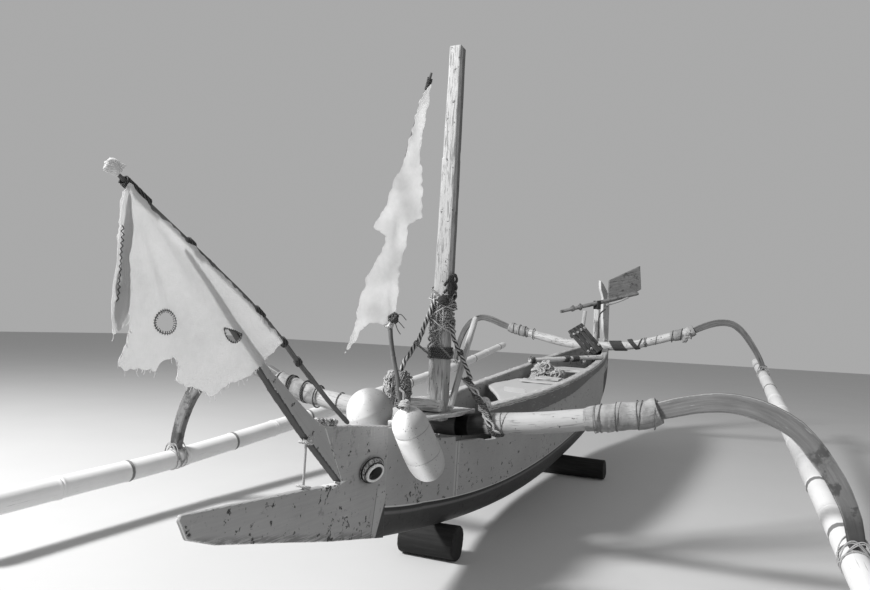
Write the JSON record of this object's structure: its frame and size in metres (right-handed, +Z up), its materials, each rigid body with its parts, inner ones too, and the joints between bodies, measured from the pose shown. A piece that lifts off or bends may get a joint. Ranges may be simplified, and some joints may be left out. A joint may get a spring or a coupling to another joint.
{
  "type": "outrigger canoe",
  "caption": "Double outrigger fishing canoe with an open-jawed bow, a bare mast, two flags and curved arms to bamboo floats, standing on two logs.",
  "frame": {"origin": "on the ground, under the middle of the whole boat's box", "axes": "+X forward to the bow, +Y to port, +Z up from the ground"},
  "size_m": [7.9496, 3.7864, 2.618],
  "materials": {
    "bare_wood": "weathered grey wood",
    "dark_strake": "dark worn paint over wood",
    "dark_wood": "dark weathered wood",
    "flag_cloth": "thin worn cotton",
    "grey_paint": "worn grey paint over wood",
    "pale_wood": "bleached bare wood",
    "rope": "twisted rope and netting",
    "sleeve_cloth": "bark and cloth binding",
    "white_paint": "thin worn white paint over wood",
    "white_plastic": "scuffed white plastic"
  },
  "bodies": {
    "root": {"hull_bottom": "grey_paint", "hull_side_port": "grey_paint", "hull_side_starboard": "grey_paint", "bow_block": "grey_paint", "stern_block": "grey_paint", "gunwale_port": "pale_wood", "gunwale_starboard": "pale_wood", "rub_strake_port": "dark_strake", "rub_strake_starboard": "dark_strake", "bow_board": "grey_paint", "upper_jaw": "grey_paint", "eye_port": "white_plastic", "eye_starboard": "white_plastic", "foredeck": "pale_wood", "mast_step": "white_paint", "mast": "white_paint", "middle_boards": "pale_wood", "thwart_rear": "pale_wood", "cross_pole": "white_paint", "floor_boards": "pale_wood", "front_beam": "white_paint", "rear_beam": "white_paint", "front_arm_port": "bare_wood", "front_sleeve_port": "sleeve_cloth", "front_lashing_port": "rope", "rear_arm_port": "bare_wood", "rear_sleeve_port": "sleeve_cloth", "rear_lashing_port": "rope", "float_port": "white_paint", "front_arm_starboard": "bare_wood", "front_sleeve_starboard": "sleeve_cloth", "front_lashing_starboard": "rope", "rear_arm_starboard": "bare_wood", "rear_sleeve_starboard": "sleeve_cloth", "rear_lashing_starboard": "rope", "float_starboard": "white_paint", "stern_post": "grey_paint", "oar_post": "pale_wood", "oar_prop": "pale_wood", "grating": "bare_wood", "ball_buoy": "white_plastic", "cylinder_buoy": "white_plastic", "bow_flag_pole": "dark_wood", "tall_flag_pole": "dark_wood", "bow_flag": "flag_cloth", "tall_flag": "flag_cloth", "leaning_pole": "pale_wood", "net_bundle": "rope", "net_pile": "rope", "support_log_front": "dark_wood", "support_log_rear": "dark_wood"},
    "crutch": {"oar_crutch": "dark_wood"},
    "oar": {"steering_oar": "bare_wood"}
  },
  "joints": [
    {"name": "oar_sweep", "type": "hinge", "parent": "root", "child": "crutch", "pos_m": [-2.63221, -0.06, 1.452], "axis": [0, 0, 1], "range_deg": [-30, 25]},
    {"name": "oar_dip", "type": "hinge", "parent": "crutch", "child": "oar", "pos_m": [-2.63221, -0.06, 1.521], "axis": [-0.7377, -0.6752, 0], "range_deg": [0, 35]}
  ]
}
